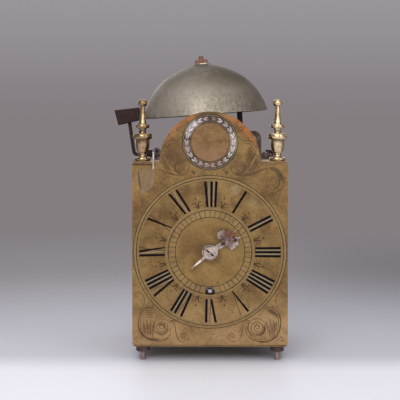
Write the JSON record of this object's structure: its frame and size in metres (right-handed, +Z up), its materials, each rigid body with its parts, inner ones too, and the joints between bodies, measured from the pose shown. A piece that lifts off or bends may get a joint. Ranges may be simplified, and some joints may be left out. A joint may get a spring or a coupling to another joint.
{
  "type": "lantern clock",
  "caption": "Square lantern clock with turned posts, engraved break-arch dial, two steel hands, a bell on a forged strap, a hammer, side doors and a spring movement with bob pendulum.",
  "frame": {"origin": "centre of the four foot stubs, on the surface that they stand on", "axes": "+Z up, +X to the right of a viewer who faces the dial, -Y out of the dial"},
  "size_m": [0.1798, 0.1659, 0.3112],
  "materials": {
    "brass_case": "aged and rubbed, brown in the hollows",
    "brass_dial": "mottled old brass, engraved, wax-filled numerals",
    "brass_polished": "worn bright on the high mouldings",
    "silvered_brass": "worn silvering over brass, engraved husks",
    "brass_movement": "lacquered clock brass",
    "hand_steel": "bright steel with rust stains",
    "arbor_steel": "polished arbor steel",
    "spring_steel": "blued spring steel",
    "forged_iron": "black forged iron with brown rust",
    "rusty_iron": "red-brown rust",
    "bell_metal": "grey-green patinated bell metal"
  },
  "bodies": {
    "frame": {"bottom_plate": "brass_case", "top_plate": "brass_case", "post_front_left": "brass_case", "post_front_right": "brass_case", "post_rear_left": "brass_case", "post_rear_right": "brass_case", "foot_collars": "brass_case", "finial_left": "brass_polished", "finial_right": "brass_polished", "rear_nuts": "forged_iron", "dial_plate": "brass_dial", "arch_boss": "brass_dial", "husk_ring": "silvered_brass", "dial_feet": "brass_movement", "dial_wire": "hand_steel", "back_plate": "brass_case", "movement_front_plate": "brass_movement", "movement_rear_plate": "brass_movement", "movement_pillars": "brass_movement", "movement_brackets": "forged_iron", "barrel": "brass_movement", "barrel_cap": "brass_movement", "mainspring": "spring_steel", "click_stud": "arbor_steel", "click_spring": "spring_steel", "centre_wheel": "brass_movement", "third_wheel": "brass_movement", "third_arbor": "arbor_steel", "escape_wheel": "brass_movement", "escape_arbor": "arbor_steel", "back_cock": "brass_movement", "minute_stud": "arbor_steel", "bell": "bell_metal", "bell_washer": "brass_polished", "bell_nut": "rusty_iron", "bell_stand": "forged_iron", "hammer_cocks": "forged_iron", "hammer_spring": "spring_steel", "plate_screws": "forged_iron"},
    "minute_set": {"centre_arbor": "arbor_steel", "cannon_pinion": "arbor_steel", "minute_hand": "hand_steel", "hand_collet": "hand_steel", "hand_pin": "forged_iron"},
    "minute_wheel_set": {"minute_wheel": "brass_movement"},
    "hour_set": {"hour_wheel": "brass_movement", "hour_hand": "hand_steel"},
    "winding_set": {"winding_arbor": "arbor_steel", "ratchet_wheel": "arbor_steel"},
    "click_set": {"click": "arbor_steel"},
    "pendulum_set": {"pallet_arbor": "arbor_steel", "anchor": "arbor_steel", "pendulum_rod": "arbor_steel", "pendulum_bob": "brass_polished"},
    "hammer_set": {"hammer_arm": "forged_iron", "hammer_head": "forged_iron"},
    "left_door_set": {"left_door": "brass_case", "left_door_knob": "brass_polished"},
    "right_door_set": {"right_door": "brass_case", "right_door_knob": "brass_polished"}
  },
  "joints": [
    {"name": "minute_turn", "type": "hinge", "parent": "frame", "child": "minute_set", "pos_m": [0, -0.08, 0.1104], "axis": [0, 1, 0], "continuous": true},
    {"name": "minute_wheel_turn", "type": "hinge", "parent": "frame", "child": "minute_wheel_set", "pos_m": [-0.01559, -0.065, 0.1194], "axis": [0, 1, 0], "continuous": true},
    {"name": "hour_turn", "type": "hinge", "parent": "frame", "child": "hour_set", "pos_m": [0, -0.067, 0.1104], "axis": [0, 1, 0], "continuous": true},
    {"name": "winding", "type": "hinge", "parent": "frame", "child": "winding_set", "pos_m": [0, -0.06, 0.0706], "axis": [0, 1, 0], "range_deg": [0, 1800]},
    {"name": "click_lift", "type": "hinge", "parent": "frame", "child": "click_set", "pos_m": [0.00572, -0.064, 0.0892], "axis": [0, -1, 0], "range_deg": [0, 12], "stiffness_Nm_per_rad": 0.02, "springref_deg": -5.73, "deforming": ["click_spring"]},
    {"name": "pendulum_swing", "type": "hinge", "parent": "frame", "child": "pendulum_set", "pos_m": [0, -0.02, 0.16274], "axis": [0, 1, 0], "range_deg": [-3, 3]},
    {"name": "hammer_swing", "type": "hinge", "parent": "frame", "child": "hammer_set", "pos_m": [-0.057, 0, 0.2095], "axis": [0, 1, 0], "range_deg": [-12, 2.2], "stiffness_Nm_per_rad": 0.6, "springref_deg": 1.72, "deforming": ["hammer_spring"]},
    {"name": "left_door_hinge", "type": "hinge", "parent": "frame", "child": "left_door_set", "pos_m": [-0.0754, 0.0724, 0.108], "axis": [0, 0, -1], "range_deg": [0, 100]},
    {"name": "right_door_hinge", "type": "hinge", "parent": "frame", "child": "right_door_set", "pos_m": [0.0754, 0.0724, 0.108], "axis": [0, 0, 1], "range_deg": [0, 100]}
  ],
  "couplings": [
    {"joint": "minute_wheel_turn", "follows": "minute_turn", "ratio": -0.66667},
    {"joint": "hour_turn", "follows": "minute_turn", "ratio": 0.083333}
  ]
}
